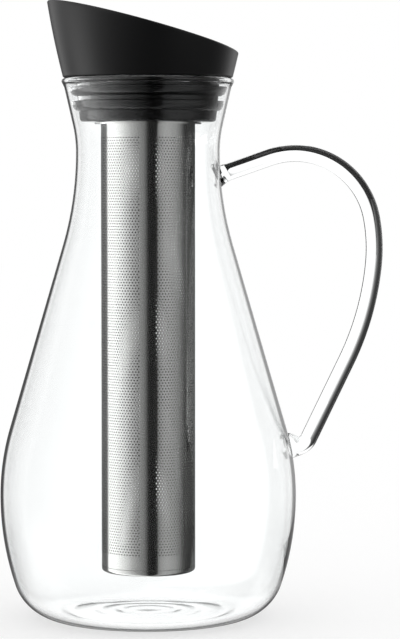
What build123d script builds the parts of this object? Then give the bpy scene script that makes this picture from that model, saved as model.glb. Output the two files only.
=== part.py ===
"""Iced tea maker: blown glass carafe with a glass handle, a slanted pouring lid
with a tilting steel flap, and a perforated steel infuser that hangs from the lid.

Frame: origin on the carafe axis at the face it stands on, +Z up, the handle
towards +X and the spout towards -X. Millimetres.
"""
from build123d import *
from math import acos, atan2, cos, degrees, floor, radians, sin, sqrt, tan
import os

os.makedirs("parts", exist_ok=True)

# ---------------------------------------------------------------- clearances
running_gap = 0.3  # between bodies that move past each other
pin_play = 0.05  # radial, between the hinge pin and what turns on it

# ------------------------------------------------------------- glass carafe
body_radius = 62.0  # widest place of the belly
belly_height = 51.4  # height of the widest place
foot_setback = 25.6  # edge of the flat foot, inside the widest place
heel_radius = 20.6  # arc from the foot to the side
shoulder_radius = 101.3  # arc from the belly to the straight flank
flank_angle = 16.3  # lean of the straight flank, degrees
throat_radius = 138.4  # hollow arc from the flank to the neck
neck_radius = 30.0  # narrowest place
flare_radius = 50.0  # hollow arc above the neck
flare_angle = 12.8  # lean of the mouth, degrees
mouth_length = 19.3  # straight cone above the flare arc
glass_wall = 1.5
floor_thickness = 2.0
inner_heel_radius = 18.7
rim_bead_radius = 1.2

# -------------------------------------------------------------- glass handle
rod_thickness = 7.1  # in the plane of the handle
rod_width = 8.6  # across it
upper_weld_drop = 9.8  # below the narrowest place
rod_rise_angle = 19.0  # degrees
rod_rise_length = 22.8
crook_radius = 33.5
crook_turn = 98.2  # degrees
grip_radius = 69.6
grip_turn = 16.4  # degrees
tail_radius = 118.0
tail_turn = 20.6  # degrees
rod_root_radius = 6.0
rod_root_standoff = 1.3  # from the belly, where the rod has turned level
upper_weld_radius = 5.0
upper_weld_reach = 3.4
upper_weld_edge = 1.4
lower_weld_radius = 7.6
lower_weld_reach = 4.0
lower_weld_flare = 1.0

# --------------------------------------------------------------- lid collar
collar_height = 32.2  # underside to the tip of the spout
collar_bottom_radius = 35.3
collar_lean = 14.5  # degrees, at the underside
collar_barrel_radius = 340.0  # gentle belly of the collar's side
collar_wall = 2.4
collar_floor = 2.4
collar_slant = 15.3  # degrees
collar_edge = 0.9  # rounding of the underside edge
collar_lip_edge = 0.7  # rounding of the slanted rim
deck_opening_radius = 21.0  # hole in the collar's floor

# ------------------------------------------------------- plug and its sleeve
plug_depth = 18.3  # below the collar's underside
sleeve_top_radius = neck_radius  # at the collar
sleeve_taper = 4.9  # degrees
sleeve_wall = 2.2
sleeve_edge = 1.4
sleeve_foot = 1.5  # silicone under the plug
lip_depths = (3.6, 9.7)  # flat tops of the two lips, below the collar
lip_height = 4.2
lip_tip = 0.8
seat_gap = 0.05  # between pieces of the lid that are pushed together

# ----------------------------------------------------------- pouring insert
insert_thickness = 2.2
insert_rim_height = 3.0
insert_rim_wall = 1.4
pour_hole_radius = 16.0
pour_hole_flare = 1.0  # wider at the bottom, so the tilting disc clears it
seat_width = 0.8  # ledge under the disc, on the spout side only
seat_span = 120.0  # degrees

# --------------------------------------------------------------------- flap
flap_gap = 0.4  # disc to pour hole
flap_thickness = 1.0
flap_offset = 1.5  # hinge axis off the carafe axis, towards the handle
pin_radius = 1.0
pin_depth = 3.4  # pin axis below the disc's top face
lug_thickness = 2.6
lug_width = 5.0
lug_inset = 1.2  # lug's inner face outside the pour hole
barrel_radius = 2.2
carrier_length = 18.0  # along the pin
carrier_width = 8.0
weight_radius = 4.0
weight_height = 5.0
weight_wall = 1.2
weight_drop = 2.4  # top of the weight below the pin axis

# ------------------------------------------------------------------ infuser
tube_radius = 19.7
tube_wall = 0.6
infuser_bottom_height = 19.6
hanger_wall = 0.8
hanger_height = 6.4
flange_reach = 2.6  # beyond the tube
flange_thickness = 0.6
lug_count = 3
bayonet_reach = 0.9
bayonet_height = 2.0
bayonet_span = 22.0  # degrees
bayonet_rise = 3.0  # lug's underside above the flange
bayonet_turn = 30.0  # degrees to unlock
base_height = 2.6
base_edge = 1.4
base_sheet = 0.7
top_band = 6.6  # plain sheet below the plug
bottom_band = 7.2  # plain sheet above the base
seam_width = 6.0  # plain strip along the weld
seam_direction = -98.0  # degrees round from +X
hole_pitch = 13.0  # perforation pitch: coarser than the real 1.3
hole_radius = 2.8  # to the corners of one hole

# ------------------------------------------------------------ derived places
foot_radius = body_radius - foot_setback
heel_run = foot_setback
heel_rise = belly_height - heel_radius
side_radius = (heel_run**2 + heel_rise**2 - heel_radius**2) / (2 * (heel_run - heel_radius))
side_centre_x = body_radius - side_radius
heel_angle = degrees(acos(heel_rise / (side_radius - heel_radius)))


def belly_point(angle):
    """Outer surface on the shoulder arc, where the wall leans by angle."""
    return (
        body_radius - shoulder_radius * (1 - cos(radians(angle))),
        belly_height + shoulder_radius * sin(radians(angle)),
    )


shoulder_x, shoulder_z = belly_point(flank_angle)
throat_start_x = neck_radius + throat_radius * (1 - cos(radians(flank_angle)))
flank_length = (shoulder_x - throat_start_x) / sin(radians(flank_angle))
neck_height = (
    shoulder_z
    + flank_length * cos(radians(flank_angle))
    + throat_radius * sin(radians(flank_angle))
)
flare_end_x = neck_radius + flare_radius * (1 - cos(radians(flare_angle)))
flare_end_z = neck_height + flare_radius * sin(radians(flare_angle))
rim_height = flare_end_z + mouth_length * cos(radians(flare_angle))


def mouth_radius(height):
    """Outer radius of the flared mouth at a height above the flare arc."""
    return flare_end_x + (height - flare_end_z) * tan(radians(flare_angle))


def glass_outline(inset, start, heel, turn):
    """Carafe profile from the foot to the rim, drawn inset from the outer face."""
    heel_arc = JernArc(start, (1, 0), heel, turn)
    side = JernArc(heel_arc @ 1, heel_arc % 1, side_radius - inset, 90 - turn)
    shoulder = JernArc(side @ 1, side % 1, shoulder_radius - inset, flank_angle)
    flank = PolarLine(shoulder @ 1, flank_length, direction=shoulder % 1)
    throat = JernArc(flank @ 1, flank % 1, throat_radius + inset, -flank_angle)
    flare = JernArc(throat @ 1, throat % 1, flare_radius + inset, -flare_angle)
    mouth = PolarLine(flare @ 1, mouth_length, direction=flare % 1)
    return mouth @ 1


# ============================================================= carafe body
# the inner heel arc touches the floor and the inner face of the side arc
inner_side_radius = side_radius - glass_wall
inner_heel_rise = belly_height - floor_thickness - inner_heel_radius
inner_heel_run = sqrt((inner_side_radius - inner_heel_radius) ** 2 - inner_heel_rise**2)
inner_foot_radius = side_centre_x + inner_heel_run
inner_heel_angle = degrees(atan2(inner_heel_run, inner_heel_rise))

with BuildPart() as glass_envelope:
    with BuildSketch(Plane.XZ):
        with BuildLine():
            foot = Line((0, 0), (foot_radius, 0))
            rim = glass_outline(0, foot @ 1, heel_radius, heel_angle)
            top = Line(rim, (0, rim.Y))
            Line(top @ 1, (0, 0))
        make_face()
    revolve(axis=Axis.Z)

with BuildPart() as glass_cavity:
    with BuildSketch(Plane.XZ):
        with BuildLine():
            foot = Line((0, floor_thickness), (inner_foot_radius, floor_thickness))
            rim = glass_outline(glass_wall, foot @ 1, inner_heel_radius, inner_heel_angle)
            above = Line(rim, rim + (glass_wall * tan(radians(flare_angle)), glass_wall))
            top = Line(above @ 1, (0, (above @ 1).Y))
            Line(top @ 1, (0, floor_thickness))
        make_face()
    revolve(axis=Axis.Z)

rim_middle_radius = mouth_radius(rim_height) - glass_wall / 2 / cos(radians(flare_angle))
with BuildPart() as carafe_body:
    add(glass_envelope.part)
    add(glass_cavity.part, mode=Mode.SUBTRACT)
    with BuildSketch(Plane.XZ):
        with Locations((rim_middle_radius, rim_height - rim_bead_radius / 2)):
            Circle(rim_bead_radius)
    revolve(axis=Axis.Z)
carafe_body.part.label = "carafe_body"
export_step(carafe_body.part, "parts/carafe_body.step")

# ================================================================== handle
# one glass rod of straight runs and tangent arcs, melted on to the neck and the side
rod_start_height = neck_height - upper_weld_drop
with BuildLine(Plane.XZ) as rod_path:
    rise = PolarLine((neck_radius, rod_start_height), rod_rise_length, rod_rise_angle)
    crook = JernArc(rise @ 1, rise % 1, crook_radius, -crook_turn)
    grip = JernArc(crook @ 1, crook % 1, grip_radius, -grip_turn)
    tail = JernArc(grip @ 1, grip % 1, tail_radius, -tail_turn)
    # the last run is as long as it takes to come down to the belly
    heading = tail % 1
    root_x = body_radius + rod_root_standoff - rod_root_radius * heading.Z
    run = PolarLine(tail @ 1, ((tail @ 1).X - root_x) / -heading.X, direction=heading)
    root_turn = degrees(atan2(-heading.Z, -heading.X))
    root = JernArc(run @ 1, run % 1, rod_root_radius, -root_turn)
    end = Line(root @ 1, root @ 1 - (lower_weld_reach, 0, 0))
lower_weld_height = (end @ 1).Z

with BuildPart() as handle:
    # the upper weld is a squashed disc of glass
    with BuildSketch(Plane.YZ.offset(neck_radius - glass_wall)):
        with Locations((0, rod_start_height)):
            Circle(upper_weld_radius)
    extrude(amount=glass_wall + upper_weld_reach)
    fillet(handle.faces().sort_by(Axis.X)[-1].edges(), upper_weld_edge)
    # the lower weld is a flared foot
    with BuildSketch(Plane.YZ.offset(body_radius - lower_weld_reach)):
        with Locations((0, lower_weld_height)):
            Circle(lower_weld_radius)
    with BuildSketch(Plane.YZ.offset(body_radius + lower_weld_flare)):
        with Locations((0, lower_weld_height)):
            Ellipse(rod_width / 2, rod_thickness / 2)
    loft()
    with BuildSketch(Plane(rod_path.line @ 0, x_dir=(0, 1, 0), z_dir=rod_path.line % 0)):
        Ellipse(rod_width / 2, rod_thickness / 2)
    sweep(path=rod_path.line)
    add(glass_envelope.part, mode=Mode.SUBTRACT)
handle.part.label = "handle"
export_step(handle.part, "parts/handle.step")

# ============================================================== lid collar
rim_top = rim_height + rim_bead_radius / 2
lid_base = rim_top + running_gap  # underside of the collar
deck = lid_base + collar_floor
lean = (sin(radians(collar_lean)), cos(radians(collar_lean)))
side_arc = degrees(collar_height / collar_barrel_radius) * 1.2
spout_tip = Vector(
    -collar_bottom_radius - collar_height * tan(radians(collar_lean)), 0, lid_base + collar_height
)


def collar_inner_radius(height):
    """Inside of the collar at a height above its underside, by the lean alone."""
    return collar_bottom_radius + height * lean[0] / lean[1] - collar_wall / lean[1]


with BuildPart() as lid_collar:
    with BuildSketch(Plane.XZ):
        with BuildLine():
            under = Line((0, lid_base), (collar_bottom_radius, lid_base))
            side = JernArc(under @ 1, lean, collar_barrel_radius, side_arc)
            top = Line(side @ 1, (0, (side @ 1).Y))
            Line(top @ 1, (0, lid_base))
        make_face()
    revolve(axis=Axis.Z)
    fillet(lid_collar.faces().sort_by(Axis.Z)[0].edges(), collar_edge)
    with BuildSketch(Plane.XZ):
        with BuildLine():
            wall_foot = (collar_inner_radius(0), lid_base)
            wall = JernArc(wall_foot, lean, collar_barrel_radius - collar_wall, side_arc * 1.1)
            top = Line(wall @ 1, (0, (wall @ 1).Y))
            axis = Line(top @ 1, (0, lid_base))
            Line(axis @ 1, wall_foot)
        make_face()
        with Locations((0, lid_base)):
            Rectangle(collar_bottom_radius * 4, collar_floor * 2, mode=Mode.SUBTRACT)
    revolve(axis=Axis.Z, mode=Mode.SUBTRACT)
    with BuildSketch(Plane.XY.offset(lid_base)):
        Circle(deck_opening_radius)
    extrude(amount=collar_floor, mode=Mode.SUBTRACT)
    slant = Plane(
        origin=spout_tip,
        x_dir=(cos(radians(collar_slant)), 0, -sin(radians(collar_slant))),
        z_dir=(sin(radians(collar_slant)), 0, cos(radians(collar_slant))),
    )
    split(bisect_by=slant, keep=Keep.BOTTOM)
    slant_face = lid_collar.faces().sort_by(Axis(spout_tip, slant.z_dir))[-1]
    fillet(slant_face.edges(), collar_lip_edge)
lid_collar.part.label = "lid_collar"
export_step(lid_collar.part, "parts/lid_collar.step")

# ======================================================== plug and its sleeve
plug_bottom = lid_base - plug_depth
taper = tan(radians(sleeve_taper))
hanger_top = plug_bottom - running_gap + hanger_height
hanger_radius = tube_radius + hanger_wall
bayonet_radius = hanger_radius + bayonet_reach
plug_bore = hanger_radius + running_gap
groove_radius = bayonet_radius + running_gap
flange_top = plug_bottom - running_gap
bayonet_low = flange_top + bayonet_rise
core_bottom = plug_bottom + sleeve_foot


def sleeve_radius(height):
    """Outside of the sleeve at a height in the carafe's frame."""
    return sleeve_top_radius - (lid_base - height) * taper


def core_radius(height):
    """Outside of the hard plug under the sleeve."""
    return sleeve_radius(height) - sleeve_wall - seat_gap


def sector_outline(inner_radius, outer_radius, middle, span):
    """Outline of part of a ring, centred on an angle in degrees."""
    outer = CenterArc((0, 0), outer_radius, middle - span / 2, span)
    inner = CenterArc((0, 0), inner_radius, middle - span / 2, span)
    Line(outer @ 0, inner @ 0)
    Line(outer @ 1, inner @ 1)


with BuildPart() as lid_plug:
    with BuildSketch(Plane.XZ):
        with BuildLine():
            Polyline(
                (plug_bore, core_bottom + seat_gap),
                (core_radius(core_bottom), core_bottom + seat_gap),
                (core_radius(lid_base), lid_base),
                (plug_bore, lid_base),
                close=True,
            )
        make_face()
        # ring groove that the infuser's lugs turn in
        with Locations((plug_bore, bayonet_low + bayonet_height / 2)):
            Rectangle(
                2 * (groove_radius - plug_bore), bayonet_height + 2 * running_gap, mode=Mode.SUBTRACT
            )
    revolve(axis=Axis.Z)
    # slots that let the lugs in from below, one bayonet turn away from locked
    slot_span = bayonet_span + 2 * degrees(running_gap / bayonet_radius)
    with BuildSketch(Plane.XY.offset(core_bottom)):
        for lug in range(lug_count):
            slot_angle = 360 / lug_count * lug + bayonet_turn
            with BuildLine():
                sector_outline(plug_bore - running_gap, groove_radius, slot_angle, slot_span)
            make_face()
    extrude(amount=bayonet_low - core_bottom, mode=Mode.SUBTRACT)
lid_plug.part.label = "lid_plug"
export_step(lid_plug.part, "parts/lid_plug.step")

with BuildPart() as lip_sleeve:
    with BuildSketch(Plane.XZ):
        with BuildLine():
            Polyline(
                (groove_radius, plug_bottom),
                (sleeve_radius(plug_bottom), plug_bottom),
                (sleeve_radius(lid_base), lid_base),
                (core_radius(lid_base) + seat_gap, lid_base),
                (core_radius(core_bottom) + seat_gap, core_bottom),
                (groove_radius, core_bottom),
                close=True,
            )
        make_face()
    revolve(axis=Axis.Z)
    fillet(lip_sleeve.faces().sort_by(Axis.Z)[0].edges().sort_by(SortBy.RADIUS)[-1], sleeve_edge)
    # each lip has a flat top and a rounded underside, and bears on the glass
    with BuildSketch(Plane.XZ):
        for depth in lip_depths:
            lip_top = lid_base - depth
            reach = mouth_radius(lip_top) - glass_wall / cos(radians(flare_angle)) - running_gap
            root = lip_top - lip_height
            with BuildLine():
                Line((sleeve_radius(root) - sleeve_wall / 2, lip_top), (reach, lip_top))
                Line((reach, lip_top), (reach - lip_tip * tan(radians(flare_angle)), lip_top - lip_tip))
                RadiusArc(
                    (reach - lip_tip * tan(radians(flare_angle)), lip_top - lip_tip),
                    (sleeve_radius(root), root),
                    lip_height,
                )
                Line((sleeve_radius(root), root), (sleeve_radius(root) - sleeve_wall / 2, root))
                Line(
                    (sleeve_radius(root) - sleeve_wall / 2, root),
                    (sleeve_radius(root) - sleeve_wall / 2, lip_top),
                )
            make_face()
    revolve(axis=Axis.Z)
lip_sleeve.part.label = "lip_sleeve"
export_step(lip_sleeve.part, "parts/lip_sleeve.step")

# =========================================================== pouring insert
insert_top = deck + insert_thickness
pin_height = insert_top - pin_depth
lug_face = pour_hole_radius + lug_inset
pin_length = 2 * (lug_face + lug_thickness)
insert_radius = collar_inner_radius(collar_floor) - seat_gap

with BuildPart() as pour_insert:
    with BuildSketch(Plane.XZ):
        with BuildLine():
            rim_lean = insert_rim_height * lean[0] / lean[1]
            Polyline(
                (pour_hole_radius + pour_hole_flare, deck),
                (insert_radius, deck),
                (insert_radius + rim_lean, deck + insert_rim_height),
                (insert_radius + rim_lean - insert_rim_wall, deck + insert_rim_height),
                (insert_radius - insert_rim_wall, insert_top),
                (pour_hole_radius, insert_top),
                close=True,
            )
        make_face()
    revolve(axis=Axis.Z)
    # the disc's spout side rests on a ledge
    with BuildSketch(Plane.XY.offset(deck)):
        with BuildLine():
            ledge_outer = pour_hole_radius + pour_hole_flare
            sector_outline(pour_hole_radius - flap_gap - seat_width, ledge_outer, 180, seat_span)
        make_face()
    extrude(amount=insert_thickness - flap_thickness - running_gap)
    # two lugs under the hole carry the hinge pin
    lug_height = deck - pin_height + barrel_radius
    for side in (-1, 1):
        with BuildSketch(Plane.XY.offset(deck)):
            with Locations((flap_offset, side * (lug_face + lug_thickness / 2))):
                Rectangle(lug_width, lug_thickness)
        extrude(amount=-lug_height)
    with BuildSketch(Plane.XZ):
        with Locations((flap_offset, pin_height)):
            Circle(pin_radius)
    extrude(amount=pin_length / 2, both=True, mode=Mode.SUBTRACT)
pour_insert.part.label = "pour_insert"
export_step(pour_insert.part, "parts/pour_insert.step")

with BuildPart() as hinge_pin:
    with BuildSketch(Plane.XZ):
        with Locations((flap_offset, pin_height)):
            Circle(pin_radius)
    extrude(amount=pin_length / 2, both=True)
hinge_pin.part.label = "hinge_pin"
export_step(hinge_pin.part, "parts/hinge_pin.step")

# ===================================================================== flap
disc_bottom = insert_top - flap_thickness
with BuildPart() as flap_disc:
    with BuildSketch(Plane.XY.offset(disc_bottom)):
        Circle(pour_hole_radius - flap_gap)
    extrude(amount=flap_thickness)
    fillet(flap_disc.faces().sort_by(Axis.Z)[-1].edges(), flap_thickness / 3)
flap_disc.part.label = "flap_disc"
export_step(flap_disc.part, "parts/flap_disc.step")

weight_top = pin_height - weight_drop
pocket_radius = weight_radius + seat_gap
with BuildPart() as flap_carrier:
    # barrel round the pin, blended up to a pad under the disc
    with BuildSketch(Plane.XZ):
        with Locations((flap_offset, pin_height)):
            Circle(barrel_radius)
        pad_height = disc_bottom - pin_height
        with Locations((flap_offset, pin_height + pad_height / 2)):
            Rectangle(carrier_width, pad_height)
    extrude(amount=carrier_length / 2, both=True)
    with BuildSketch(Plane.XY.offset(weight_top - weight_height)):
        with Locations((flap_offset, 0)):
            Circle(weight_radius + weight_wall)
    extrude(amount=weight_height + weight_drop)
    with BuildSketch(Plane.XY.offset(weight_top - weight_height)):
        with Locations((flap_offset, 0)):
            Circle(pocket_radius)
    extrude(amount=weight_height, mode=Mode.SUBTRACT)
    with BuildSketch(Plane.XZ):
        with Locations((flap_offset, pin_height)):
            Circle(pin_radius + pin_play)
    extrude(amount=carrier_length, both=True, mode=Mode.SUBTRACT)
flap_carrier.part.label = "flap_carrier"
export_step(flap_carrier.part, "parts/flap_carrier.step")

with BuildPart() as flap_weight:
    with BuildSketch(Plane.XY.offset(weight_top - weight_height)):
        with Locations((flap_offset, 0)):
            Circle(weight_radius)
    extrude(amount=weight_height - seat_gap)
flap_weight.part.label = "flap_weight"
export_step(flap_weight.part, "parts/flap_weight.step")

# ================================================================== infuser
with BuildPart() as infuser_hanger:
    with BuildSketch(Plane.XY.offset(flange_top - flange_thickness)):
        Circle(tube_radius + flange_reach)
        Circle(tube_radius, mode=Mode.SUBTRACT)
    extrude(amount=flange_thickness)
    with BuildSketch(Plane.XY.offset(flange_top)):
        Circle(hanger_radius)
        Circle(tube_radius, mode=Mode.SUBTRACT)
    extrude(amount=hanger_height)
    with BuildSketch(Plane.XY.offset(bayonet_low)):
        for lug in range(lug_count):
            lug_angle = 360 / lug_count * lug
            with BuildLine():
                sector_outline(tube_radius + hanger_wall / 2, bayonet_radius, lug_angle, bayonet_span)
            make_face()
    extrude(amount=bayonet_height)
infuser_hanger.part.label = "infuser_hanger"
export_step(infuser_hanger.part, "parts/infuser_hanger.step")

tube_bottom = infuser_bottom_height + base_height
tube_top = flange_top + hanger_height
rows_low = tube_bottom + bottom_band
rows_high = flange_top - top_band
row_count = floor((rows_high - rows_low) / (hole_pitch * sqrt(3) / 2)) + 1
row_pitch = (rows_high - rows_low) / (row_count - 1)
open_angle = 360 - degrees(seam_width / tube_radius)
hole_count = floor(radians(open_angle) * tube_radius / hole_pitch)
hole_step = open_angle / hole_count
first_hole = seam_direction + degrees(seam_width / tube_radius) / 2
hole_planes = []
for row in range(row_count):
    for hole in range(hole_count - row % 2):
        angle = radians(first_hole + (hole + 0.5 + (row % 2) / 2) * hole_step)
        hole_planes.append(
            Plane(
                origin=(
                    (tube_radius - 2 * tube_wall) * cos(angle),
                    (tube_radius - 2 * tube_wall) * sin(angle),
                    rows_low + row * row_pitch,
                ),
                x_dir=(-sin(angle), cos(angle), 0),
                z_dir=(cos(angle), sin(angle), 0),
            )
        )

with BuildPart() as infuser_tube:
    with BuildSketch(Plane.XY.offset(tube_bottom)):
        Circle(tube_radius)
        Circle(tube_radius - tube_wall, mode=Mode.SUBTRACT)
    extrude(amount=tube_top - tube_bottom)
    with BuildSketch(*hole_planes):
        RegularPolygon(hole_radius, 6)
    extrude(amount=3 * tube_wall, mode=Mode.SUBTRACT)
infuser_tube.part.label = "infuser_tube"
export_step(infuser_tube.part, "parts/infuser_tube.step")

with BuildPart() as infuser_base:
    with BuildSketch(Plane.XY.offset(infuser_bottom_height)):
        Circle(tube_radius)
    extrude(amount=base_height)
    fillet(infuser_base.faces().sort_by(Axis.Z)[0].edges(), base_edge)
    offset(amount=-base_sheet, openings=infuser_base.faces().sort_by(Axis.Z)[-1])
infuser_base.part.label = "infuser_base"
export_step(infuser_base.part, "parts/infuser_base.step")
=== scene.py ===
import math

import bmesh
import bpy
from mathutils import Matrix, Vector


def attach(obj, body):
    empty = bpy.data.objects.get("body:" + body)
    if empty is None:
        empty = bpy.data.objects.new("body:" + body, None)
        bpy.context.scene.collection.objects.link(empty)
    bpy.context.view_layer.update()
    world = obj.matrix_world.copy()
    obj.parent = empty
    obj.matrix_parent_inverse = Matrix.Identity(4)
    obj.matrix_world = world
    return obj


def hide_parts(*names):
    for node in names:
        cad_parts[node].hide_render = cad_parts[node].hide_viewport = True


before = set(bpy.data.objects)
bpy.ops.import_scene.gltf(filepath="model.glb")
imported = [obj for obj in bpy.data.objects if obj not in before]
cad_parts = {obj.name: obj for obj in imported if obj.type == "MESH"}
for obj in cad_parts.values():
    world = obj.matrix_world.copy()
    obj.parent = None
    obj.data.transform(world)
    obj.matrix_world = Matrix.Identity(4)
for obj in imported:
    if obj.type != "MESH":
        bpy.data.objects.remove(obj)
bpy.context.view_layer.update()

# ---------------------------------------------------------------------------
# Carafe: one blown borosilicate glass bubble, pear-shaped, with a flattened
# foot and a fire-polished mouth whose edge is melted into a small round bead.
# The handle is a drawn glass rod, bent hot and melted on at neck and belly.
# ---------------------------------------------------------------------------
MM = 0.001
# sizes in millimetres and degrees
GLASS_WALL = 1.5
FLOOR_THICKNESS = 2.0
FOOT_RADIUS = 36.4
NECK_RADIUS = 30.0
BODY_RADIUS = 62.0
BELLY_HEIGHT = 51.4
HEEL_RADIUS = 20.6
SHOULDER_RADIUS = 101.3
FLANK_ANGLE = 16.3
THROAT_RADIUS = 138.4
FLARE_RADIUS = 50.0
FLARE_ANGLE = 12.8
MOUTH_LENGTH = 19.3
RIM_BEAD = 1.2
BEAD_BLEND = 0.6
INNER_HEEL_RADIUS = 18.7
STAND_WIDTH = 2.0
HOLLOW_RISE = 0.5
# the rings in the floor, each (radius, rise, width), and what shows of them underneath
FLOOR_RINGS = ((0.0, 0.15, 6.0), (12.0, 0.13, 2.2), (20.5, 0.12, 2.4), (33.0, 0.2, 3.2))
RING_SHOW = 0.4
# longest step along the glass side, the floor and the rod, and the widest bend
# in radians between two points of an arc
SIDE_PACE = 1.6
FLOOR_PACE = 0.6
ROD_PACE = 1.2
WIDEST_BEND = 0.07
SMOOTH_ANGLE = 40
GLASS_FACETS = 240


def walk(start, heading, moves, pace):
    """Points of a drawn outline: each move is (length,) for a straight or
    (radius, turn) for an arc that turns left by that many degrees."""
    x, z = start
    points = [(x, z)]
    angle = math.radians(heading)
    for move in moves:
        if len(move) == 1:
            steps = max(1, round(move[0] / pace))
            for _ in range(steps):
                x += move[0] / steps * math.cos(angle)
                z += move[0] / steps * math.sin(angle)
                points.append((x, z))
            continue
        radius, turn = move[0], math.radians(move[1])
        steps = max(4, round(abs(radius * turn) / pace), round(abs(turn) / WIDEST_BEND))
        for _ in range(steps):
            bend = turn / steps
            chord = 2 * radius * math.sin(abs(bend) / 2)
            x += chord * math.cos(angle + bend / 2)
            z += chord * math.sin(angle + bend / 2)
            angle += bend
            points.append((x, z))
    return points


def piece(name, mesh_maker, material, body):
    """A mesh object in metres from a bmesh drawn in millimetres, riding on a body."""
    bm = bmesh.new()
    mesh_maker(bm)
    bmesh.ops.scale(bm, vec=(MM, MM, MM), verts=bm.verts)
    bmesh.ops.recalc_face_normals(bm, faces=bm.faces)
    mesh = bpy.data.meshes.new(name)
    bm.to_mesh(mesh)
    bm.free()
    mesh.shade_smooth()
    mesh.set_sharp_from_angle(angle=math.radians(SMOOTH_ANGLE))
    obj = bpy.data.objects.new(name, mesh)
    bpy.context.scene.collection.objects.link(obj)
    mesh.materials.append(material)
    if body:
        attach(obj, body)
    return obj


def turned(outline, segments, closed=True):
    """A mesh maker that turns an outline of (radius, height) round the axis."""

    def make(bm):
        rings = []
        for radius, height in outline:
            if radius < 1e-6:
                rings.append([bm.verts.new((0, 0, height))])
                continue
            rings.append(
                [
                    bm.verts.new(
                        (
                            radius * math.cos(2 * math.pi * i / segments),
                            radius * math.sin(2 * math.pi * i / segments),
                            height,
                        )
                    )
                    for i in range(segments)
                ]
            )
        pairs = list(zip(rings, rings[1:]))
        if closed and len(rings[0]) > 1:
            pairs.append((rings[-1], rings[0]))
        for low, high in pairs:
            for i in range(segments):
                j = (i + 1) % segments
                if len(low) == 1:
                    bm.faces.new((low[0], high[j], high[i]))
                elif len(high) == 1:
                    bm.faces.new((low[i], low[j], high[0]))
                else:
                    bm.faces.new((low[i], low[j], high[j], high[i]))

    return make


def linear(hex_colour):
    """An sRGB hex colour as linear red, green, blue and alpha."""
    channels = [int(hex_colour[i : i + 2], 16) / 255 for i in (1, 3, 5)]
    return (
        *(c / 12.92 if c <= 0.04045 else ((c + 0.055) / 1.055) ** 2.4 for c in channels),
        1.0,
    )


def new_material(name, **settings):
    """A material with one Principled shader, set on its own sockets."""
    material = bpy.data.materials.new(name)
    material.use_nodes = True
    shader = material.node_tree.nodes["Principled BSDF"]
    for socket, value in settings.items():
        shader.inputs[socket.replace("_", " ")].default_value = value
    return material, shader


heel_run = BODY_RADIUS - FOOT_RADIUS
heel_rise = BELLY_HEIGHT - HEEL_RADIUS
side_radius = (heel_run**2 + heel_rise**2 - HEEL_RADIUS**2) / (2 * (heel_run - HEEL_RADIUS))
heel_angle = math.degrees(math.acos(heel_rise / (side_radius - HEEL_RADIUS)))
flank_top = NECK_RADIUS + THROAT_RADIUS * (1 - math.cos(math.radians(FLANK_ANGLE)))
flank_foot = BODY_RADIUS - SHOULDER_RADIUS * (1 - math.cos(math.radians(FLANK_ANGLE)))
flank_length = (flank_foot - flank_top) / math.sin(math.radians(FLANK_ANGLE))


def glass_side(start, heel, turn, inset):
    """The side of the jug from its foot to its rim, inset from the outer face."""
    return walk(
        start,
        0,
        [
            (heel, turn),
            (side_radius - inset, 90 - turn),
            (SHOULDER_RADIUS - inset, FLANK_ANGLE),
            (flank_length,),
            (THROAT_RADIUS + inset, -FLANK_ANGLE),
            (FLARE_RADIUS + inset, -FLARE_ANGLE),
            (MOUTH_LENGTH,),
        ],
        SIDE_PACE,
    )


inner_side = side_radius - GLASS_WALL
inner_rise = BELLY_HEIGHT - FLOOR_THICKNESS - INNER_HEEL_RADIUS
inner_run = math.sqrt((inner_side - INNER_HEEL_RADIUS) ** 2 - inner_rise**2)
inner_foot = BODY_RADIUS - side_radius + inner_run
inner_turn = math.degrees(math.atan2(inner_run, inner_rise))

outer_face = glass_side((FOOT_RADIUS, 0), HEEL_RADIUS, heel_angle, 0)
inner_face = glass_side((inner_foot, FLOOR_THICKNESS), INNER_HEEL_RADIUS, inner_turn, GLASS_WALL)
rim_radius, rim_height = outer_face[-1]
bead_radius = rim_radius - GLASS_WALL / 2 / math.cos(math.radians(FLARE_ANGLE))
bead_height = rim_height - RIM_BEAD / 2
# the bead's arc, from where it leaves the outer face round to the inner one
bead = [
    (
        bead_radius + RIM_BEAD * math.cos(math.radians(a)),
        bead_height + RIM_BEAD * math.sin(math.radians(a)),
    )
    for a in range(-40, 221, 13)
]
outer_below = [p for p in outer_face if p[1] < bead[0][1] - BEAD_BLEND]
inner_below = [p for p in inner_face if p[1] < bead[-1][1] - BEAD_BLEND]


def wave(radius):
    """Height of the rings that the blowpipe's spin leaves in the floor as it stiffens."""
    return sum(
        rise * math.exp(-(((radius - ring) / width) ** 2)) for ring, rise, width in FLOOR_RINGS
    )


# the foot stands on a narrow ring round a shallow hollow
hollow_radius = FOOT_RADIUS - STAND_WIDTH
underside = []
for k in range(round(hollow_radius / FLOOR_PACE)):
    radius = FLOOR_PACE * k
    hollow = HOLLOW_RISE * math.cos(math.pi / 2 * radius / hollow_radius)
    underside.append((radius, max(0, hollow - RING_SHOW * wave(radius))))
floor_top = []
for k in range(1, int(inner_foot / FLOOR_PACE) + 1):
    radius = inner_foot - FLOOR_PACE * k
    floor_top.append((radius, FLOOR_THICKNESS + wave(radius)))
carafe_outline = (
    underside
    + outer_below
    + bead
    + inner_below[::-1]
    + floor_top
    + [(0, FLOOR_THICKNESS + wave(0))]
)

# Borosilicate glass, fire-polished: quite clear and without a flaw in its gloss,
# so that it shows by its edges alone; only a breath of colour.
borosilicate, _ = new_material(
    "borosilicate_fire_polished",
    Base_Color=linear("#FDFEFE"),
    Roughness=0.0,
    IOR=1.47,
    Transmission_Weight=1.0,
)
jug_shape = turned(carafe_outline, GLASS_FACETS, closed=False)
carafe = piece("carafe_glass", jug_shape, borosilicate, None)

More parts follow.
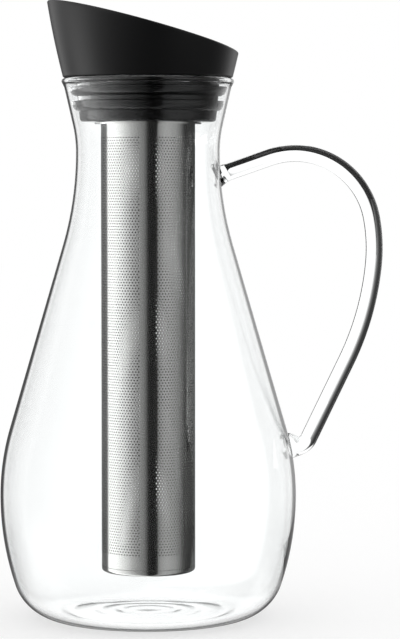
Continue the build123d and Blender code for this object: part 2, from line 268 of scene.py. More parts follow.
ROD_THICKNESS = 7.1
ROD_WIDTH = 8.6
ROD_START_HEIGHT = 185.4
ROD_START_ANGLE = 19.0
ROD_MOVES = [(22.8,), (33.5, -98.2), (69.6, -16.4), (118.0, -20.6), (36.4,)]
ROD_ROOT_RADIUS = 6.0
ROD_ROOT_LENGTH = 4.0
# how far and how low the rod starts inside the neck's wall
ROD_SINK = 1.0
ROD_SINK_DROP = 0.3
ROD_SIDES = 48
# melting on makes the rod swell: by what share, and over what length
NECK_SWELL, NECK_SWELL_LENGTH = 0.45, 2.6
BELLY_SWELL, BELLY_SWELL_LENGTH = 0.62, 4.2

run_turn = ROD_START_ANGLE + sum(move[1] for move in ROD_MOVES if len(move) > 1)
root_turn = -(180 + run_turn)
rod_line = walk(
    (NECK_RADIUS - ROD_SINK, ROD_START_HEIGHT - ROD_SINK_DROP),
    ROD_START_ANGLE,
    [(ROD_SINK,)] + ROD_MOVES + [(ROD_ROOT_RADIUS, root_turn), (ROD_ROOT_LENGTH,)],
    ROD_PACE,
)


def handle_rod(bm):
    """The rod's oval section carried along its line, swelling where it is melted on."""
    count = len(rod_line)
    run = [0.0]
    for (x0, z0), (x1, z1) in zip(rod_line, rod_line[1:]):
        run.append(run[-1] + math.hypot(x1 - x0, z1 - z0))
    rings = []
    for i, (x, z) in enumerate(rod_line):
        x0, z0 = rod_line[max(i - 1, 0)]
        x1, z1 = rod_line[min(i + 1, count - 1)]
        along = math.atan2(z1 - z0, x1 - x0)
        to_end = run[-1] - run[i]
        swell = (
            1
            + NECK_SWELL * math.exp(-((run[i] / NECK_SWELL_LENGTH) ** 2))
            + BELLY_SWELL * math.exp(-((to_end / BELLY_SWELL_LENGTH) ** 2))
        )
        ring = []
        for k in range(ROD_SIDES):
            a = 2 * math.pi * k / ROD_SIDES
            out = ROD_THICKNESS / 2 * swell * math.cos(a)
            across = ROD_WIDTH / 2 * swell * math.sin(a)
            ring.append(
                bm.verts.new((x - out * math.sin(along), across, z + out * math.cos(along)))
            )
        rings.append(ring)
    for low, high in zip(rings, rings[1:]):
        for k in range(ROD_SIDES):
            j = (k + 1) % ROD_SIDES
            bm.faces.new((low[k], low[j], high[j], high[k]))
    bm.faces.new(rings[0])
    bm.faces.new(rings[-1][::-1])


# rod and jug become one skin, as they do in the flame
handle = piece("handle_rod", handle_rod, borosilicate, None)
weld = carafe.modifiers.new("melted_on", "BOOLEAN")
weld.operation = "UNION"
weld.solver = "EXACT"
weld.object = handle
welded = carafe.evaluated_get(bpy.context.evaluated_depsgraph_get())
melted = bpy.data.meshes.new_from_object(welded)
carafe.modifiers.clear()
carafe.data = melted
melted.shade_smooth()
melted.set_sharp_from_angle(angle=math.radians(SMOOTH_ANGLE))
bpy.data.objects.remove(handle)
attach(carafe, "carafe")
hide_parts("carafe_body", "handle")

# ---------------------------------------------------------------------------
# Lid collar: black polypropylene, injection moulded, a ring with a slanted top
# whose high side is the pouring spout. Fine satin skin, edges softly rounded.
# ---------------------------------------------------------------------------
RUNNING_GAP = 0.3
LID_BASE = rim_height + RIM_BEAD / 2 + RUNNING_GAP
COLLAR_HEIGHT = 32.2
COLLAR_RADIUS = 35.3
COLLAR_LEAN = 14.5
COLLAR_BARREL = 340.0
COLLAR_WALL = 2.4
COLLAR_FLOOR = 2.4
COLLAR_SLANT = 15.0
COLLAR_EDGE = 0.9
COLLAR_LIP = 0.7
DECK_OPENING = 21.0

lean = math.radians(COLLAR_LEAN)
slant = math.tan(math.radians(COLLAR_SLANT))
spout_reach = COLLAR_RADIUS + COLLAR_HEIGHT * math.tan(lean)


def collar_radius(height, inset=0.0):
    """Outer radius of the collar's barrelled side at a height above its underside."""
    barrel = COLLAR_BARREL - inset
    foot_x = COLLAR_RADIUS - inset / math.cos(lean)
    centre_x = foot_x - barrel * math.cos(lean)
    centre_z = barrel * math.sin(lean)
    return centre_x + math.sqrt(barrel**2 - (height - centre_z) ** 2)


def collar_top(angle, inset):
    """Height of the slanted top over the underside, where a side meets it."""
    height = COLLAR_HEIGHT / 2
    # the side leans, so the height is found in a few rounds
    for _ in range(12):
        x = collar_radius(height, inset) * math.cos(angle)
        height = COLLAR_HEIGHT - (x + spout_reach) * slant
    return height


def collar_shell(bm):
    """The collar's section at each angle: underside, side, rounded lip, inner wall, deck."""
    segments = 256
    steps = 24
    columns = []
    for i in range(segments):
        angle = 2 * math.pi * i / segments
        section = [(DECK_OPENING, 0.0), (COLLAR_RADIUS - COLLAR_EDGE, 0.0)]
        for a in range(-75, 1, 15):
            s, c = math.sin(math.radians(a)), math.cos(math.radians(a))
            edge_radius = collar_radius(COLLAR_EDGE) - COLLAR_EDGE + COLLAR_EDGE * c
            section.append((edge_radius, COLLAR_EDGE + COLLAR_EDGE * s))
        outer_top = collar_top(angle, 0.0)
        inner_top = collar_top(angle, COLLAR_WALL)
        for k in range(1, steps + 1):
            height = COLLAR_EDGE + (outer_top - COLLAR_LIP - COLLAR_EDGE) * k / steps
            section.append((collar_radius(height), height))
        for a in range(15, 91, 15):
            s, c = math.sin(math.radians(a)), math.cos(math.radians(a))
            height = outer_top - COLLAR_LIP + COLLAR_LIP * s
            section.append((collar_radius(height) - COLLAR_LIP * (1 - c), height))
        for a in range(90, -1, -15):
            s, c = math.sin(math.radians(a)), math.cos(math.radians(a))
            height = inner_top - COLLAR_LIP + COLLAR_LIP * s
            section.append((collar_radius(height, COLLAR_WALL) + COLLAR_LIP * (1 - c), height))
        for k in range(1, steps + 1):
            depth = (inner_top - COLLAR_LIP - COLLAR_FLOOR) * k / steps
            height = inner_top - COLLAR_LIP - depth
            section.append((collar_radius(height, COLLAR_WALL), height))
        section.append((DECK_OPENING, COLLAR_FLOOR))
        columns.append(
            [
                bm.verts.new((r * math.cos(angle), r * math.sin(angle), LID_BASE + h))
                for r, h in section
            ]
        )
    count = len(columns[0])
    for i in range(segments):
        here, there = columns[i], columns[(i + 1) % segments]
        for k in range(count):
            j = (k + 1) % count
            bm.faces.new((here[k], there[k], there[j], here[j]))


def add(material, kind, inputs=None, **settings):
    """Adds a node. Settings name its properties or input sockets, and inputs
    give a socket, by name or number, its value or the output that feeds it."""
    node = material.node_tree.nodes.new(kind)
    for name, value in settings.items():
        if hasattr(node, name):
            setattr(node, name, value)
        else:
            node.inputs[name.replace("_", " ")].default_value = value
    for socket, value in (inputs or {}).items():
        if isinstance(value, bpy.types.NodeSocket):
            material.node_tree.links.new(value, node.inputs[socket])
        else:
            node.inputs[socket].default_value = value
    return node


# Satin polypropylene: near-black, a broad soft sheen from a fine spark-eroded
# mould; the grain of about 0.1 mm is drawn at 0.4 mm so that it shows at all.
GRAIN_WIDTH = 0.4
black_moulding, moulding_shader = new_material(
    "polypropylene_satin_moulded",
    Base_Color=linear("#0E0E0F"),
    Roughness=0.31,
    IOR=1.46,
)
place = add(black_moulding, "ShaderNodeTexCoord")
grain = add(
    black_moulding,
    "ShaderNodeTexNoise",
    {"Vector": place.outputs["Object"]},
    Scale=1 / (GRAIN_WIDTH * MM),
    Detail=2.0,
)
skin = add(
    black_moulding,
    "ShaderNodeBump",
    {"Height": grain.outputs["Fac"]},
    Strength=0.08,
    Distance=0.0002,
)
black_moulding.node_tree.links.new(skin.outputs["Normal"], moulding_shader.inputs["Normal"])

collar = piece("lid_collar_shell", collar_shell, black_moulding, "lid")
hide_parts("lid_collar")

# ---------------------------------------------------------------------------
# Sealing sleeve: black silicone rubber, moulded in one with two flat-topped
# lips that close the neck, and stretched over the lid's hard plug.
# ---------------------------------------------------------------------------
PLUG_DEPTH = 18.3
SLEEVE_TOP = 30.0
SLEEVE_TAPER = 4.9
SLEEVE_WALL = 2.2
SLEEVE_EDGE = 1.4
SLEEVE_FOOT = 1.5
LIP_DEPTHS = (9.7, 3.6)
LIP_HEIGHT = 4.2
LIP_TIP = 0.8
LIP_CORNER = 0.15
LIP_ROOT = 0.3
LIP_ROOT_STEP = 0.05
ROUND_FACETS = 192
TUBE_RADIUS = 19.7
HANGER_WALL = 0.8
BAYONET_REACH = 0.9
GROOVE_RADIUS = TUBE_RADIUS + HANGER_WALL + BAYONET_REACH + RUNNING_GAP

taper = math.tan(math.radians(SLEEVE_TAPER))
plug_bottom = LID_BASE - PLUG_DEPTH
flare = math.tan(math.radians(FLARE_ANGLE))


def sleeve_radius(height):
    """Outer radius of the tapered sleeve at a height."""
    return SLEEVE_TOP - (LID_BASE - height) * taper


def mouth_bore(height):
    """Inside radius of the flared glass mouth at a height."""
    wall_across = GLASS_WALL / math.cos(math.radians(FLARE_ANGLE))
    return rim_radius - (rim_height - height) * flare - wall_across


sleeve_outline = [(GROOVE_RADIUS, plug_bottom)]
for a in range(-90, 1, 15):
    s, c = math.sin(math.radians(a)), math.cos(math.radians(a))
    edge_radius = sleeve_radius(plug_bottom) - SLEEVE_EDGE + SLEEVE_EDGE * c
    sleeve_outline.append((edge_radius, plug_bottom + SLEEVE_EDGE + SLEEVE_EDGE * s))
for depth in LIP_DEPTHS:
    lip_top = LID_BASE - depth
    reach = mouth_bore(lip_top) - RUNNING_GAP
    root = lip_top - LIP_HEIGHT
    tip_radius, tip = reach - LIP_TIP * flare, lip_top - LIP_TIP
    # the lip's underside is a hollow quarter round from the sleeve to the tip
    for k in range(9):
        a = math.radians(90 * k / 8)
        reached = sleeve_radius(root) + (tip_radius - sleeve_radius(root)) * math.sin(a)
        sleeve_outline.append((reached, root + (tip - root) * (1 - math.cos(a))))
    sleeve_outline += [
        (reach, lip_top - LIP_CORNER),
        (reach - LIP_CORNER, lip_top),
        (sleeve_radius(lip_top) + LIP_ROOT, lip_top),
        (sleeve_radius(lip_top) + LIP_ROOT_STEP, lip_top + LIP_ROOT),
    ]
sleeve_outline += [
    (sleeve_radius(LID_BASE) - LIP_ROOT_STEP, LID_BASE),
    (SLEEVE_TOP - SLEEVE_WALL, LID_BASE),
    (sleeve_radius(plug_bottom + SLEEVE_FOOT) - SLEEVE_WALL, plug_bottom + SLEEVE_FOOT),
    (GROOVE_RADIUS, plug_bottom + SLEEVE_FOOT),
]

# Silicone: smooth from a polished mould, so a clear gloss, deeper than the
# collar's. Its skin oil makes it mirror a little more than bare rubber, and
# smears 11 mm wide make the gloss a little uneven.
SMEAR_WIDTH = 11.1
black_silicone, silicone_shader = new_material(
    "silicone_rubber_polished_mould",
    Base_Color=linear("#0F0F10"),
    Roughness=0.14,
    IOR=1.6,
)
place = add(black_silicone, "ShaderNodeTexCoord")
smears = add(
    black_silicone,
    "ShaderNodeTexNoise",
    {"Vector": place.outputs["Object"]},
    Scale=1 / (SMEAR_WIDTH * MM),
    Detail=1.0,
)
spread = add(
    black_silicone,
    "ShaderNodeMapRange",
    {"Value": smears.outputs["Fac"]},
    From_Min=0.3,
    From_Max=0.7,
    To_Min=0.12,
    To_Max=0.17,
)
black_silicone.node_tree.links.new(spread.outputs["Result"], silicone_shader.inputs["Roughness"])

sleeve = piece("sealing_sleeve", turned(sleeve_outline, ROUND_FACETS), black_silicone, "lid")
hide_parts("lip_sleeve")

# ---------------------------------------------------------------------------
# Hard parts of the lid and the flap's carrier: the same black polypropylene,
# clicked and pushed together. The deck carries the flap on a steel pin.
# ---------------------------------------------------------------------------
for node in ("lid_plug", "pour_insert", "flap_carrier"):
    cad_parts[node].data.materials.clear()
    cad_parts[node].data.materials.append(black_moulding)

# ---------------------------------------------------------------------------
# Infuser: 18/10 stainless sheet, perforated in fine staggered rows, rolled
# into a tube and butt-welded along a plain strip; spun cap, flanged hanger.
# ---------------------------------------------------------------------------
TUBE_WALL = 0.4
INFUSER_BOTTOM = 19.6
BASE_HEIGHT = 2.6
BASE_EDGE = 1.4
BASE_SHEET = 0.7
CAP_SEAM = 0.15
HANGER_HEIGHT = 6.4
ROW_PITCH = 1.15
HOLE_PITCH = 1.3
HOLE_RADIUS = 0.34
SEAM_WIDTH = 6.0
SEAM_FACETS = 16
SEAM_DIRECTION = -98.0
FIRST_ROW = 28.5
LAST_ROW = 200.9

# Bright-rolled stainless: clear reflections, drawn out a little round the
# tube, which is the rolling direction, with faint scuffs 0.3 mm wide.
SCUFF_WIDTH = 1 / 3
SCUFF_LENGTH = 2.5
stainless, steel_shader = new_material(
    "stainless_bright_rolled",
    Base_Color=linear("#D8D8D6"),
    Metallic=1.0,
    Roughness=0.08,
)
place = add(stainless, "ShaderNodeTexCoord")
stretch = add(
    stainless,
    "ShaderNodeMapping",
    {"Vector": place.outputs["Object"]},
    Scale=(1 / (SCUFF_LENGTH * MM), 1 / (SCUFF_LENGTH * MM), 1 / (SCUFF_WIDTH * MM)),
)
scuffs = add(
    stainless,
    "ShaderNodeTexNoise",
    {"Vector": stretch.outputs["Vector"]},
    Scale=1.0,
    Detail=3.0,
)
spread = add(
    stainless,
    "ShaderNodeMapRange",
    {"Value": scuffs.outputs["Fac"]},
    From_Min=0.3,
    From_Max=0.7,
    To_Min=0.06,
    To_Max=0.11,
)
stainless.node_tree.links.new(spread.outputs["Result"], steel_shader.inputs["Roughness"])

# The inner face is rougher, and its colour is painted shade: a darker, brownish grey for the
# little light that comes in through the holes, mottled at random in patches 6 mm wide, so that it
# reads dark through the holes.
SHADE_MOTTLE_WIDTH = 5.6
shaded_inner_steel, shaded_inner_shader = new_material(
    "stainless_inside_painted_shade",
    Base_Color=linear("#5E5B56"),
    Metallic=1.0,
    Roughness=0.35,
)
place = add(shaded_inner_steel, "ShaderNodeTexCoord")
shade_mottle = add(
    shaded_inner_steel,
    "ShaderNodeTexNoise",
    {"Vector": place.outputs["Object"]},
    Scale=1 / (SHADE_MOTTLE_WIDTH * MM),
    Detail=3.0,
)
# the painted shade's tone, between two dark brownish greys
painted_shade_tone = add(
    shaded_inner_steel,
    "ShaderNodeMix",
    {0: shade_mottle.outputs["Fac"], 6: linear("#6A6762"), 7: linear("#524C44")},
    data_type="RGBA",
)
shaded_inner_steel.node_tree.links.new(painted_shade_tone.outputs[2], shaded_inner_shader.inputs["Base Color"])

tube_bottom = INFUSER_BOTTOM + BASE_HEIGHT
tube_top = plug_bottom - RUNNING_GAP + HANGER_HEIGHT
row_count = round((LAST_ROW - FIRST_ROW) / ROW_PITCH) + 1
open_angle = 2 * math.pi - SEAM_WIDTH / TUBE_RADIUS
hole_count = int(open_angle * TUBE_RADIUS / HOLE_PITCH)
hole_step = open_angle / hole_count
first_hole = math.radians(SEAM_DIRECTION) + SEAM_WIDTH / TUBE_RADIUS / 2


def on_tube(bm, angle, height, depth):
    """A corner of the sheet at an angle and a height, sunk from its outer face."""
    radius = TUBE_RADIUS - depth
    return bm.verts.new((radius * math.cos(angle), radius * math.sin(angle), height))


def perforated(first, last):
    """A mesh maker for rows first to last of the tube, each hole cut right through."""

    def make(bm):
        half_row = ROW_PITCH / 2
        # corners of the cells lie half a pitch to each side; every second row is staggered
        edge_rows = []
        for r in range(first, last + 2):
            height = FIRST_ROW + r * ROW_PITCH - half_row
            row = []
            for k in range(2 * hole_count + 1):
                angle = first_hole + k * hole_step / 2
                row.append([on_tube(bm, angle, height, d) for d in (0.0, TUBE_WALL)])
            edge_rows.append(row)
        for r in range(first, last + 1):
            low, high = edge_rows[r - first], edge_rows[r - first + 1]
            middle = FIRST_ROW + r * ROW_PITCH
            shift = r % 2
            for k in range(shift, 2 * hole_count - shift, 2):
                centre = first_hole + (k + 1) * hole_step / 2
                ring = []
                for c in range(6):
                    a = math.radians(60 * c)
                    angle = centre + HOLE_RADIUS * math.cos(a) / TUBE_RADIUS
                    height = middle + HOLE_RADIUS * math.sin(a)
                    ring.append([on_tube(bm, angle, height, d) for d in (0.0, TUBE_WALL)])
                border = [low[k + 2], high[k + 2], high[k + 1], high[k], low[k], low[k + 1]]
                faces = [
                    (border[0], border[1], ring[0]),
                    (border[1], border[2], ring[1], ring[0]),
                    (border[2], border[3], ring[2], ring[1]),
                    (border[3], ring[3], ring[2]),
                    (border[3], border[4], ring[3]),
                    (border[4], border[5], ring[4], ring[3]),
                    (border[5], border[0], ring[5], ring[4]),
                    (border[0], ring[0], ring[5]),
                ]
                # face 0 of the sheet is the outer one, face 1 the inner
                for d in (0, 1):
                    for face in faces:
                        corners = [v[d] for v in face]
                        bm.faces.new(corners if d == 0 else corners[::-1]).material_index = d
                for c in range(6):
                    a, b = ring[c], ring[(c + 1) % 6]
                    bm.faces.new((a[0], b[0], b[1], a[1]))
            # a staggered row leaves half a cell at each end, which stays plain
            if shift:
                for k in (0, 2 * hole_count - 1):
                    for d in (0, 1):
                        corners = [low[k][d], low[k + 1][d], high[k + 1][d], high[k][d]]
                        bm.faces.new(corners if d == 0 else corners[::-1]).material_index = d

    return make


# the sheet is drawn in four bands of rows, to keep each mesh small
BAND_ROWS = 38
for number, first in enumerate(range(0, row_count, BAND_ROWS), 1):
    last = min(first + BAND_ROWS, row_count) - 1
    band = piece(f"infuser_sheet_{number}", perforated(first, last), stainless, "infuser")
    # the inner faces take the painted shade of the tube's inside
    band.data.materials.append(shaded_inner_steel)
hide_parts("infuser_tube")


def plain_sheet(low, high, start, end, steps):
    """A mesh maker for plain curved sheet between two heights and two angles."""

    def make(bm):
        columns = []
        for i in range(steps + 1):
            angle = start + (end - start) * i / steps
            columns.append(
                [
                    on_tube(bm, angle, low, 0.0),
                    on_tube(bm, angle, high, 0.0),
                    on_tube(bm, angle, high, TUBE_WALL),
                    on_tube(bm, angle, low, TUBE_WALL),
                ]
            )
        for here, there in zip(columns, columns[1:]):
            for k in range(4):
                j = (k + 1) % 4
                bm.faces.new((here[k], there[k], there[j], here[j]))
        bm.faces.new(columns[0])
        bm.faces.new(columns[-1][::-1])

    return make


seam_start = first_hole - SEAM_WIDTH / TUBE_RADIUS
once_round = first_hole + 2 * math.pi
rows_low = FIRST_ROW - ROW_PITCH / 2
rows_high = FIRST_ROW + (row_count - 1) * ROW_PITCH + ROW_PITCH / 2
for name, low, high, start, end, steps in (
    ("infuser_seam_strip", rows_low, rows_high, seam_start, first_hole, SEAM_FACETS),
    ("infuser_plain_top", rows_high, tube_top, first_hole, once_round, ROUND_FACETS),
    ("infuser_plain_bottom", tube_bottom, rows_low, first_hole, once_round, ROUND_FACETS),
):
    strip = piece(name, plain_sheet(low, high, start, end, steps), stainless, "infuser")

base_outline = [(0, INFUSER_BOTTOM)]
for a in range(-90, 1, 15):
    s, c = math.sin(math.radians(a)), math.cos(math.radians(a))
    edge_radius = TUBE_RADIUS - BASE_EDGE + BASE_EDGE * c
    base_outline.append((edge_radius, INFUSER_BOTTOM + BASE_EDGE + BASE_EDGE * s))
base_outline += [
    (TUBE_RADIUS, tube_bottom - CAP_SEAM),
    (TUBE_RADIUS - BASE_SHEET, tube_bottom - CAP_SEAM),
    (TUBE_RADIUS - BASE_SHEET, INFUSER_BOTTOM + BASE_EDGE),
    (TUBE_RADIUS - BASE_EDGE, INFUSER_BOTTOM + BASE_SHEET),
    (0, INFUSER_BOTTOM + BASE_SHEET),
]
cap_shape = turned(base_outline, ROUND_FACETS, closed=False)
cap = piece("infuser_spun_cap", cap_shape, stainless, "infuser")
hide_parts("infuser_base")

for node in ("infuser_hanger", "hinge_pin", "flap_disc", "flap_weight"):
    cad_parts[node].data.materials.clear()
    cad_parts[node].data.materials.append(stainless)

# ---------------------------------------------------------------------------
# Studio table: white paper. Small cards stand round the object, as glassware
# is lit in a studio, where only the glass or the sleeve brings them into
# view; the camera never sees them and they cast no shadow.
# ---------------------------------------------------------------------------
WHITE = (1.0, 1.0, 1.0, 1.0)
TABLE_SIZE = 8.0
TABLE_DROP = 0.0002
SHADOW_KEPT = 0.4
# limits for what is counted along a path, set between two counts: once or more,
# and bent by both walls of the jug, since the rod or one wall bends it only twice
AT_ALL = 0.5
BOTH_WALLS = 3.5

bpy.ops.mesh.primitive_plane_add(size=TABLE_SIZE, location=(0, 0, -TABLE_DROP))
floor = bpy.context.object
floor.name = "studio_floor"
paper = bpy.data.materials.new("white_paper_sweep")
paper.use_nodes = True
paper.node_tree.nodes.clear()
matt = add(paper, "ShaderNodeBsdfDiffuse", Color=WHITE)
bright = add(paper, "ShaderNodeEmission", Color=WHITE, Strength=1.0)
ray = add(paper, "ShaderNodeLightPath")
# the camera sees the paper burnt out, with the shadow left in it at part strength
burn = add(
    paper,
    "ShaderNodeMath",
    {0: ray.outputs["Is Camera Ray"], 1: 1.0 - SHADOW_KEPT},
    operation="MULTIPLY",
)
paper_mix = add(
    paper,
    "ShaderNodeMixShader",
    {0: burn.outputs["Value"], 1: matt.outputs["BSDF"], 2: bright.outputs["Emission"]},
)
add(paper, "ShaderNodeOutputMaterial", {"Surface": paper_mix.outputs["Shader"]})
floor.data.materials.append(paper)
floor.visible_glossy = False
floor.visible_transmission = False


def card_surface(name, kind, tests, **settings):
    """A card's material, clear except on paths that pass every test: what is
    counted along the path, how it is compared, and with what."""
    surface = bpy.data.materials.new(name)
    surface.use_nodes = True
    surface.node_tree.nodes.clear()
    ray = add(surface, "ShaderNodeLightPath")
    passed = 1.0
    for counted, compared, count in tests:
        test = add(
            surface, "ShaderNodeMath", {0: ray.outputs[counted], 1: count}, operation=compared
        )
        both = add(
            surface, "ShaderNodeMath", {0: passed, 1: test.outputs["Value"]}, operation="MULTIPLY"
        )
        passed = both.outputs["Value"]
    clear = add(surface, "ShaderNodeBsdfTransparent")
    shown = add(surface, kind, **settings)
    card_mix = add(
        surface,
        "ShaderNodeMixShader",
        {0: passed, 1: clear.outputs["BSDF"], 2: shown.outputs[0]},
    )
    add(surface, "ShaderNodeOutputMaterial", {"Surface": card_mix.outputs["Shader"]})
    return surface


def stage_card(name, corners, surface):
    """A flat card between its corners, out of the camera's sight."""

    def outline(bm):
        bm.faces.new([bm.verts.new(corner) for corner in corners])

    card = piece(name, outline, surface, None)
    card.visible_camera = card.visible_diffuse = False
    card.visible_glossy = card.visible_shadow = False


# Black velvet on the table behind the handle: it takes nearly all light, so
# that the rod, which bends it into view, shows a dark band.
black_velvet = card_surface(
    "black_velvet_card",
    "ShaderNodeBsdfDiffuse",
    [("Transmission Depth", "LESS_THAN", BOTH_WALLS)],
    Color=linear("#202020"),
)
VELVET_DROP = 0.1
# its plan, anticlockwise from the corner nearest to the handle
velvet_plan = (
    (40, 60), (150, 60), (320, 1010), (283, 993), (240, 941), (217, 1010), (178, 1181),
    (151, 1725), (151, 3132), (200, 6451), (60, 6451), (-60, 1026), (-170, 520),
    (-150, 330), (-90, 230), (-20, 110),
)
stage_card("black_card", [(x, y, -VELVET_DROP) for x, y in velvet_plan], black_velvet)

# White board lit from the front: small cards behind the two welds and the
# lower run of the rod, to clear them.
lit_board = card_surface(
    "white_card_lit",
    "ShaderNodeEmission",
    [
        ("Transmission Depth", "LESS_THAN", BOTH_WALLS),
        ("Glossy Depth", "LESS_THAN", AT_ALL),
    ],
    Color=WHITE,
    Strength=1.1,
)
for name, behind, left, right, low, high in (
    ("weld_card_lower", 14.0, 56.5, 77.0, 60.0, 73.5),
    ("weld_card_upper", 14.0, 24.0, 34.0, 177.0, 196.0),
    ("run_card", 100.0, 80.0, 115.0, 50.0, 88.0),
):
    corners = [(left, low), (right, low), (right, high), (left, high)]
    stage_card(name, [(x, behind, z) for x, z in corners], lit_board)

# A strip light level with the neck, so high and so short that only the lid's
# sleeve mirrors it, through the glass.
strip_lit = card_surface(
    "strip_light_lit",
    "ShaderNodeEmission",
    [
        ("Glossy Depth", "GREATER_THAN", AT_ALL),
        ("Transmission Depth", "GREATER_THAN", BOTH_WALLS),
    ],
    Color=WHITE,
    Strength=4.6,
)
STRIP_ENDS = ((-54.0, 74.0), (-99.0, 16.0))
STRIP_LOW, STRIP_HIGH = 208.5, 252.0
strip_corners = [(x, y, STRIP_LOW) for x, y in STRIP_ENDS]
strip_corners += [(x, y, STRIP_HIGH) for x, y in STRIP_ENDS[::-1]]
stage_card("strip_light", strip_corners, strip_lit)

# ---------------------------------------------------------------------------
# Studio panels: soft white panels and dark flags far round the object. Each
# kind of path sees its own, so that glass and steel can be lit one by one.
# ---------------------------------------------------------------------------
# the sweep behind the glass, a little over white for what the glass takes away
SWEEP = (1.14, 1.14, 1.14, 1.0)

world = bpy.data.worlds.new("studio_panels")
bpy.context.scene.world = world
world.use_nodes = True
world.cycles.sampling_method = "NONE"
world.node_tree.nodes.clear()

direction = add(world, "ShaderNodeTexCoord")
split = add(world, "ShaderNodeSeparateXYZ", {"Vector": direction.outputs["Generated"]})
# bearing 0 looks along +Y, positive towards +X
bearing = add(
    world, "ShaderNodeMath", {0: split.outputs["X"], 1: split.outputs["Y"]}, operation="ARCTAN2"
)
full_circle = add(
    world,
    "ShaderNodeMapRange",
    {"Value": bearing.outputs["Value"]},
    From_Min=-math.pi,
    From_Max=math.pi,
)

# greys round the horizon, each (bearing in degrees, grey): first those seen through
# the rod, to the left and to the right of the flag that is cut back
rod_left = [
    (-180, 1.14), (-160, 1.14), (-156, 0.05), (-114, 0.05), (-110, 1.14), (-70, 1.14),
    (-66, 0.03),
]
rod_right = [
    (52, 1.14), (55, 0.03), (88, 0.03), (90, 1.14), (98, 1.14), (101, 0.05), (156, 0.05),
    (160, 1.14), (180, 1.14),
]
horizons = {
    # seen through the solid rod of the handle: the sweep, with the dark flags that
    # draw the rod's lines
    "through_rod": rod_left
    + [(-12, 0.04), (-3, 0.2), (2, 0.7), (5, 1.14)]
    + rod_right,
    # the same above the flag's top edge, where it is cut back on its right
    "over_rod_flag": rod_left + [(-27, 0.03), (-23, 1.14)] + rod_right,
    # mirrored by the outside of the glass and by the lid
    "off_outside": [
        (-180, 0.02), (-173, 0.04), (-169, 0.12), (-163, 0.25), (-153, 0.36), (-143, 0.48),
        (-133, 0.62), (-122, 0.85), (-112, 1.0), (-62, 1.0), (-58, 0.8), (-22, 0.8),
        (-16, 0.15), (0, 0.1), (5, 1.0), (15, 1.0), (20, 0.4), (33, 0.4), (38, 0.9),
        (60, 0.8), (90, 0.15), (103, 0.26), (115, 0.42), (127, 0.5), (138, 0.56),
        (148, 0.54), (158, 0.42), (163, 0.3), (166, 0.02), (180, 0.02),
    ],
    # carried along inside the wall of the jug before it leaves
    "inside_wall": [
        (-180, 0.02), (-150, 0.04), (-66, 0.3), (-60, 1.0), (-19, 1.0), (-15, 0.04),
        (-1, 0.04), (3, 1.0), (16, 1.0), (20, 0.3), (31, 0.3), (36, 1.0), (60, 1.0),
        (80, 0.3), (150, 0.04), (180, 0.02),
    ],
    # mirrored by the steel and the lid's sleeve: a bright panel to the left, a narrow one
    # straight behind, a soft one at the front on the right, and dark flags between them
    "off_steel": [
        (-180, 0.02), (-173, 0.04), (-169, 0.12), (-163, 0.25), (-153, 0.36), (-143, 0.48),
        (-133, 0.62), (-122, 0.9), (-112, 1.15), (-100, 1.5), (-88, 1.75), (-74, 1.9),
        (-60, 1.9), (-56, 1.2), (-52, 0.25), (-38, 0.17), (-14, 0.17), (-4, 1.1),
        (10, 1.1), (22, 0.05), (88, 0.05), (96, 0.15), (103, 0.26), (115, 0.42),
        (127, 0.5), (138, 0.56), (148, 0.54), (158, 0.42), (163, 0.3), (166, 0.02),
        (180, 0.02),
    ],
    # the table top as the wall of the jug carries it: white behind, dark in front
    "inside_table": [
        (-180, 0.0), (-158, 0.0), (-147, 0.03), (-125, 0.15), (-101, 0.5), (-80, 1.0),
        (72, 1.0), (86, 0.03), (100, 0.0), (180, 0.0),
    ],
    # mirrored off the table top: bright behind, falling away towards the camera
    "off_table": [
        (-180, 0.03), (-168, 0.05), (-147, 0.1), (-125, 0.24), (-113, 0.4), (-101, 0.8),
        (-88, 1.6), (-73, 1.9), (-62, 1.2), (-50, 0.3), (-40, 0.2), (35, 0.2), (60, 0.05),
        (100, 0.06), (140, 0.1), (160, 0.06), (180, 0.03),
    ],
}
grey = {}
for name, stops in horizons.items():
    band = add(world, "ShaderNodeValToRGB", {"Fac": full_circle.outputs["Result"]})
    elements = band.color_ramp.elements
    elements.remove(elements[1])
    for number, (degrees, level) in enumerate(stops):
        position = (degrees + 180) / 360
        element = elements.new(position) if number else elements[0]
        element.position = position
        element.color = (level, level, level, 1.0)
    grey[name] = band.outputs["Color"]

# what covers a horizon below or above it: the share it covers at most, its
# colour, and the elevations at which it starts and is full
for name, most, cover, start, end in (
    ("through_rod", 1.0, WHITE, -22, -30),
    ("through_rod", 1.0, grey["over_rod_flag"], 17, 20),
    ("through_rod", 1.0, linear("#101010"), 46, 52),
    ("off_outside", 1.0, grey["off_table"], -6, -14),
    ("off_outside", 0.8, grey["inside_table"], -20, -27),
    ("inside_wall", 1.0, grey["inside_table"], -12, -24),
    ("inside_wall", 0.8, WHITE, -34, -42),
):
    share = add(
        world,
        "ShaderNodeMapRange",
        {"Value": split.outputs["Z"]},
        From_Min=math.sin(math.radians(start)),
        From_Max=math.sin(math.radians(end)),
        To_Max=most,
    )
    layer = add(
        world,
        "ShaderNodeMix",
        {0: share.outputs["Result"], 6: grey[name], 7: cover},
        data_type="RGBA",
    )
    grey[name] = layer.outputs[2]

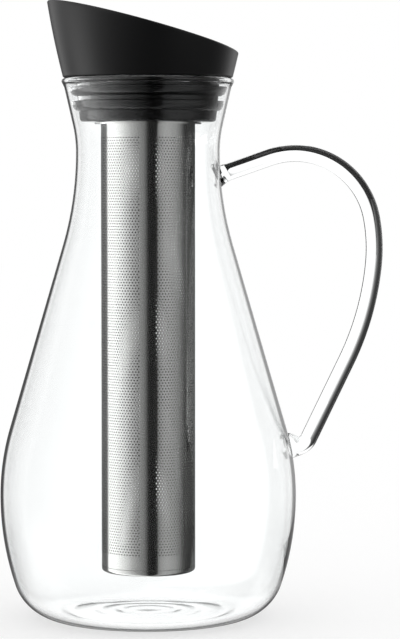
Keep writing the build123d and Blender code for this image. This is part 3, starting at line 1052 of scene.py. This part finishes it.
# each kind of path, in the order in which it takes over: what it sees, what
# is counted along it, and from what count
path = add(world, "ShaderNodeLightPath")
mirrored = add(
    world, "ShaderNodeMath", {0: path.outputs["Glossy Depth"], 1: AT_ALL}, operation="GREATER_THAN"
)
walls = add(
    world,
    "ShaderNodeMath",
    {0: mirrored.outputs["Value"], 1: path.outputs["Transmission Depth"]},
    operation="MULTIPLY",
)
sky = WHITE
for seen, counted, count in (
    (grey["through_rod"], path.outputs["Transmission Depth"], AT_ALL),
    (SWEEP, path.outputs["Transmission Depth"], BOTH_WALLS),
    (grey["off_outside"], mirrored.outputs["Value"], AT_ALL),
    (grey["inside_wall"], walls.outputs["Value"], AT_ALL),
    (grey["off_steel"], walls.outputs["Value"], BOTH_WALLS),
    (WHITE, path.outputs["Diffuse Depth"], AT_ALL),
):
    met = add(world, "ShaderNodeMath", {0: counted, 1: count}, operation="GREATER_THAN")
    choice = add(
        world, "ShaderNodeMix", {0: met.outputs["Value"], 6: sky, 7: seen}, data_type="RGBA"
    )
    sky = choice.outputs[2]
shine = add(world, "ShaderNodeBackground", {"Color": sky}, Strength=1.0)
add(world, "ShaderNodeOutputWorld", {"Surface": shine.outputs["Background"]})

bpy.context.scene.view_settings.view_transform = "Standard"

# ---------------------------------------------------------------------------
# Camera: a long lens a little above the middle of the jug, turned a little
# round to the spout's side and tipped down. Distances are in metres.
# ---------------------------------------------------------------------------
SENSOR = 36.0
FRAME_HEIGHT = 639
FOCAL_PIXELS = 2612
CAMERA_TURN = 8.5
CAMERA_TIP = 3.254
DISTANCE, ASIDE, HEIGHT = 1.0918, 0.0217, 0.1872

camera = bpy.data.objects.new("camera", bpy.data.cameras.new("camera"))
bpy.context.scene.collection.objects.link(camera)
bpy.context.scene.camera = camera
# the sensor covers the long side of the frame, and the focal length is in its pixels
camera.data.sensor_fit = "AUTO"
camera.data.sensor_width = SENSOR
camera.data.lens = SENSOR * FOCAL_PIXELS / FRAME_HEIGHT
camera.data.clip_end = 20.0
turn = math.radians(CAMERA_TURN)
tip = math.radians(CAMERA_TIP)
camera.location = (
    ASIDE * math.cos(turn) - DISTANCE * math.sin(turn),
    -ASIDE * math.sin(turn) - DISTANCE * math.cos(turn),
    HEIGHT,
)
look = Vector((math.sin(turn) * math.cos(tip), math.cos(turn) * math.cos(tip), -math.sin(tip)))
camera.rotation_euler = look.to_track_quat("-Z", "Y").to_euler()
